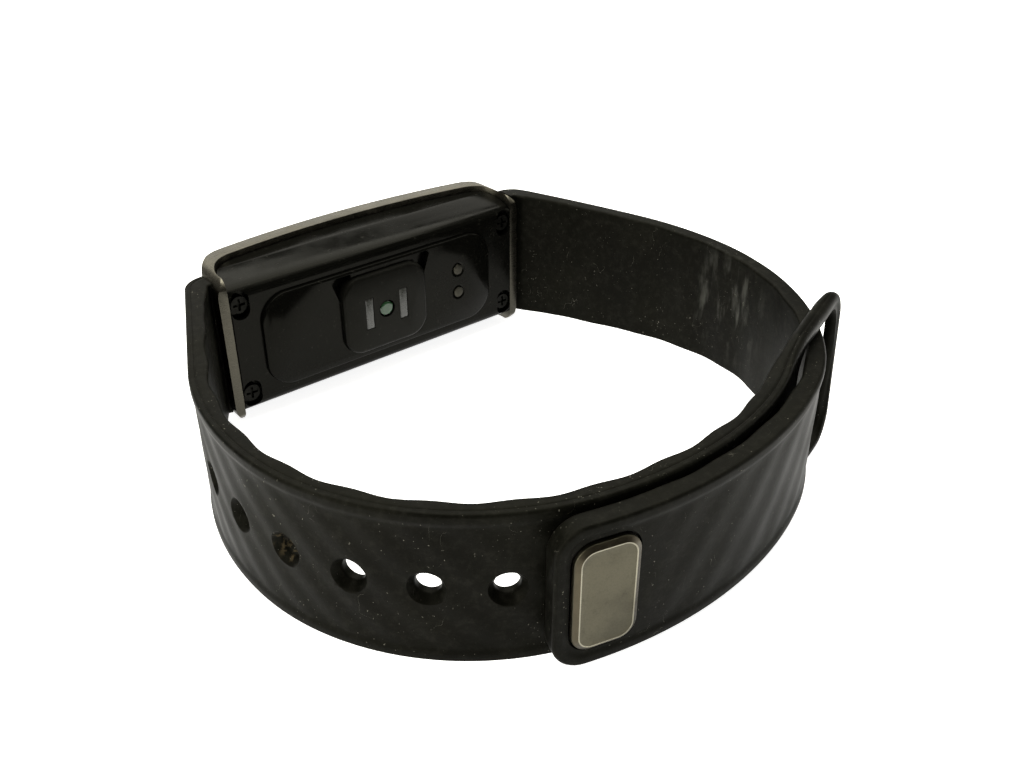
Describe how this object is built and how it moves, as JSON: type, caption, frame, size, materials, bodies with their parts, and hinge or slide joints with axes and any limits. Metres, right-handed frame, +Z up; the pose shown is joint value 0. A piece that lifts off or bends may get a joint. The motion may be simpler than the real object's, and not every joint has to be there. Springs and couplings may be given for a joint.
{
  "type": "fitness tracker band",
  "caption": "Slim wrist-worn activity tracker: an arched metal-framed module with a rear light sensor, on a two-piece rubber strap with adjusting holes, a stud clasp and a keeper loop.",
  "frame": {"origin": "on the lower long rail of the metal case frame, midway along it and midway through its depth, where the band rests on its edge", "axes": "+X along the case, +Y out of the display, +Z up across the straps, with the band standing on its long edge"},
  "size_m": [0.0649, 0.0644, 0.0186],
  "materials": {
    "brushed_steel": "warm grey, satin brushed",
    "black_rubber": "satin black with moulded diagonal ribs",
    "display_glass": "polished, black behind",
    "gloss_black": "gloss",
    "pad_black": "semi-gloss",
    "chassis_black": "matt",
    "window_grey": "gloss",
    "lens_green": "gloss",
    "contact_plating": "satin plated",
    "circuit_board": "satin",
    "chip_package": "matt",
    "copper_foil": "satin",
    "flex_amber": "satin",
    "battery_foil": "satin",
    "foam_tape": "matt",
    "nickel": "satin",
    "weight_alloy": "satin",
    "diode_silicon": "gloss",
    "lamp_green": "gloss",
    "clear_adhesive": "clear",
    "panel_black": "gloss",
    "seal_rubber": "matt"
  },
  "bodies": {
    "band": {"bezel_frame": "brushed_steel", "display_glass": "display_glass", "display_adhesive": "clear_adhesive", "display_panel": "panel_black", "display_flex": "flex_amber", "touch_electrode": "copper_foil", "antenna": "copper_foil", "inner_chassis": "chassis_black", "main_board": "circuit_board", "board_chips": "chip_package", "battery": "battery_foil", "battery_pad": "foam_tape", "battery_tab": "nickel", "motor_can": "nickel", "sensor_board": "circuit_board", "green_led": "lamp_green", "photodiodes": "diode_silicon", "light_barrier": "chassis_black", "sensor_cover": "pad_black", "photodiode_windows": "window_grey", "led_lens": "lens_green", "charge_contacts": "contact_plating", "rear_cover": "gloss_black", "cover_seal": "seal_rubber", "strap_screws": "brushed_steel", "long_strap_insert": "nickel", "short_strap_insert": "nickel", "long_strap": "black_rubber", "short_strap": "black_rubber"},
    "motor_weight": {"motor_rotor": "weight_alloy"},
    "keeper": {"keeper_loop": "black_rubber"},
    "clasp": {"strap_tip": "black_rubber", "clasp_plate": "brushed_steel", "clasp_stud": "brushed_steel"}
  },
  "joints": [
    {"name": "motor_spin", "type": "hinge", "parent": "band", "child": "motor_weight", "pos_m": [0.0129, -0.0034, 0.0093], "axis": [0, 1, 0], "continuous": true},
    {"name": "loop_flex", "type": "hinge", "parent": "band", "child": "keeper", "pos_m": [0.01364, -0.05537, 0.0093], "axis": [0, 0, -1], "range_deg": [-3, 7], "stiffness_Nm_per_rad": 0.01},
    {"name": "clasp_peel", "type": "hinge", "parent": "band", "child": "clasp", "pos_m": [-0.00083, -0.06166, 0.0093], "axis": [0, 0, 1], "range_deg": [0, 60], "stiffness_Nm_per_rad": 0.004}
  ]
}
